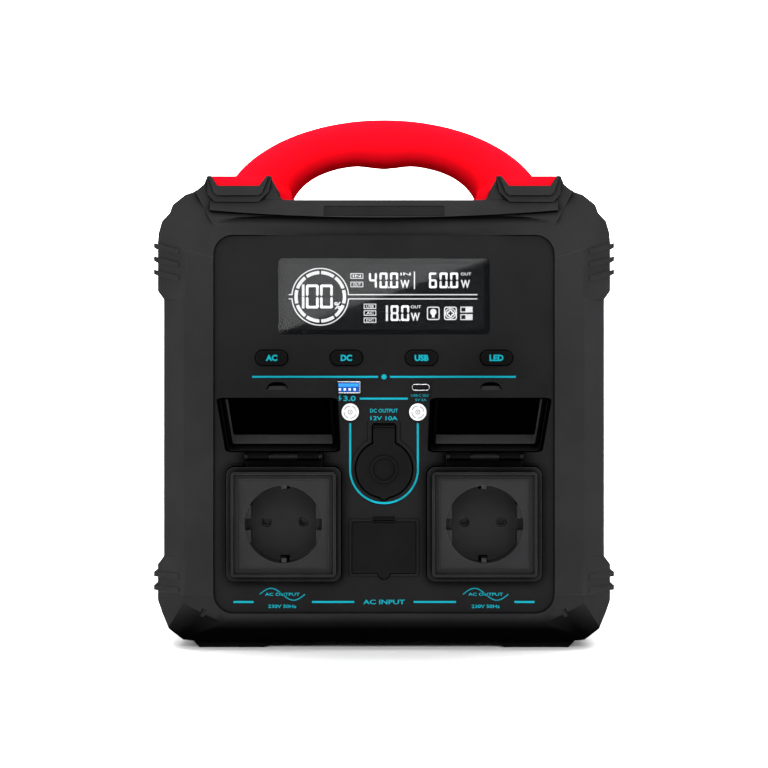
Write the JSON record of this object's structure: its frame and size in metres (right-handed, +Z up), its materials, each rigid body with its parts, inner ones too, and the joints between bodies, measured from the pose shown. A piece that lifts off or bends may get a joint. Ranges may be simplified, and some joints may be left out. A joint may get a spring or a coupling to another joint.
{
  "type": "portable power station",
  "caption": "Portable battery power station with a display, push buttons, low-voltage outlets, lidded mains sockets, a fan and an arched carrying handle.",
  "frame": {"origin": "on the ground under the middle of the whole part's bounding box at rest, with both lids open", "axes": "+Z up, +X to the right of someone who faces the front panel, -Y out of the front panel"},
  "size_m": [0.2364, 0.2508, 0.2815],
  "materials": {
    "case_plastic": "fine spark-eroded texture",
    "dark_plastic": "matt",
    "panel_plastic": "fine texture",
    "lid_plastic": "fine texture",
    "socket_plastic": "satin",
    "red_plastic": "satin",
    "bumper_rubber": "matt",
    "foot_rubber": "matt",
    "button_rubber": "satin",
    "steel": "zinc plated",
    "switch_steel": "bright",
    "port_steel": "bright",
    "barrel_metal": "turned",
    "contact_brass": "bright",
    "contact_nickel": "nickel plated",
    "window_glass": "gloss",
    "display": "lit",
    "jack_plastic": "gloss",
    "board": "solder mask",
    "cell_sleeve": "shrink sleeve",
    "heatsink_metal": "extruded",
    "core_iron": "varnished",
    "capacitor_can": "sleeve",
    "lamp_diffuser": "frosted",
    "lamp_board": "white solder mask"
  },
  "bodies": {
    "case": {"bottom_tray": "dark_plastic", "body_sleeve": "case_plastic", "top_cover": "case_plastic", "rear_panel": "panel_plastic", "vent_grilles": "dark_plastic", "bumper_front_left": "bumper_rubber", "bumper_front_right": "bumper_rubber", "bumper_rear_left": "bumper_rubber", "bumper_rear_right": "bumper_rubber", "rubber_feet": "foot_rubber", "handle": "red_plastic", "handle_bolts": "steel", "badge_plate": "dark_plastic", "front_panel": "panel_plastic", "display_window": "window_glass", "display_module": "display", "tact_switches": "switch_steel", "control_board": "board", "port_board": "board", "usb_a_port": "port_steel", "usb_c_port": "port_steel", "dc_jack_left": "jack_plastic", "dc_jack_right": "jack_plastic", "car_socket_barrel": "barrel_metal", "car_socket_contact": "contact_brass", "cap_anchor": "button_rubber", "socket_frame_left": "panel_plastic", "socket_frame_right": "panel_plastic", "socket_insert_left": "socket_plastic", "socket_insert_right": "socket_plastic", "socket_contacts": "contact_nickel", "lid_pins": "steel", "inlet_socket": "dark_plastic", "inlet_pins": "contact_nickel", "cover_anchor": "button_rubber", "fan_frame": "dark_plastic", "battery_cells": "cell_sleeve", "cell_holders": "dark_plastic", "bus_bars": "switch_steel", "bms_board": "board", "inverter_board": "board", "inverter_heatsinks": "heatsink_metal", "transformers": "core_iron", "capacitors": "capacitor_can", "divider_plate": "heatsink_metal", "lamp_lens": "lamp_diffuser", "lamp_board": "lamp_board", "case_screws": "steel"},
    "lid_left": {"socket_lid_left": "lid_plastic", "lid_seal_left": "foot_rubber"},
    "lid_right": {"socket_lid_right": "lid_plastic", "lid_seal_right": "foot_rubber"},
    "button_ac": {"ac_button": "button_rubber"},
    "button_dc": {"dc_button": "button_rubber"},
    "button_usb": {"usb_button": "button_rubber"},
    "button_led": {"led_button": "button_rubber"},
    "car_cap": {"car_socket_cap": "button_rubber"},
    "inlet_flap": {"inlet_cover": "button_rubber"},
    "fan": {"fan_rotor": "dark_plastic"}
  },
  "joints": [
    {"name": "lid_left_hinge", "type": "hinge", "parent": "case", "child": "lid_left", "pos_m": [-0.0506, -0.06911, 0.0986], "axis": [1, 0, 0], "range_deg": [0, 118]},
    {"name": "lid_right_hinge", "type": "hinge", "parent": "case", "child": "lid_right", "pos_m": [0.0506, -0.06911, 0.0986], "axis": [1, 0, 0], "range_deg": [0, 118]},
    {"name": "button_ac_press", "type": "slide", "parent": "case", "child": "button_ac", "axis": [0, 1, 0], "range_m": [0, 0.0008], "stiffness_N_per_m": 600, "springref_m": -0.0005},
    {"name": "button_dc_press", "type": "slide", "parent": "case", "child": "button_dc", "axis": [0, 1, 0], "range_m": [0, 0.0008], "stiffness_N_per_m": 600, "springref_m": -0.0005},
    {"name": "button_usb_press", "type": "slide", "parent": "case", "child": "button_usb", "axis": [0, 1, 0], "range_m": [0, 0.0008], "stiffness_N_per_m": 600, "springref_m": -0.0005},
    {"name": "button_led_press", "type": "slide", "parent": "case", "child": "button_led", "axis": [0, 1, 0], "range_m": [0, 0.0008], "stiffness_N_per_m": 600, "springref_m": -0.0005},
    {"name": "car_cap_hinge", "type": "hinge", "parent": "case", "child": "car_cap", "pos_m": [0, -0.06591, 0.1133], "axis": [1, 0, 0], "range_deg": [-140, 0]},
    {"name": "inlet_cover_hinge", "type": "hinge", "parent": "case", "child": "inlet_flap", "pos_m": [0, -0.06511, 0.06515], "axis": [1, 0, 0], "range_deg": [-140, 0]},
    {"name": "fan_spin", "type": "hinge", "parent": "case", "child": "fan", "pos_m": [0.102, 0.05449, 0.128], "axis": [1, 0, 0], "continuous": true}
  ]
}
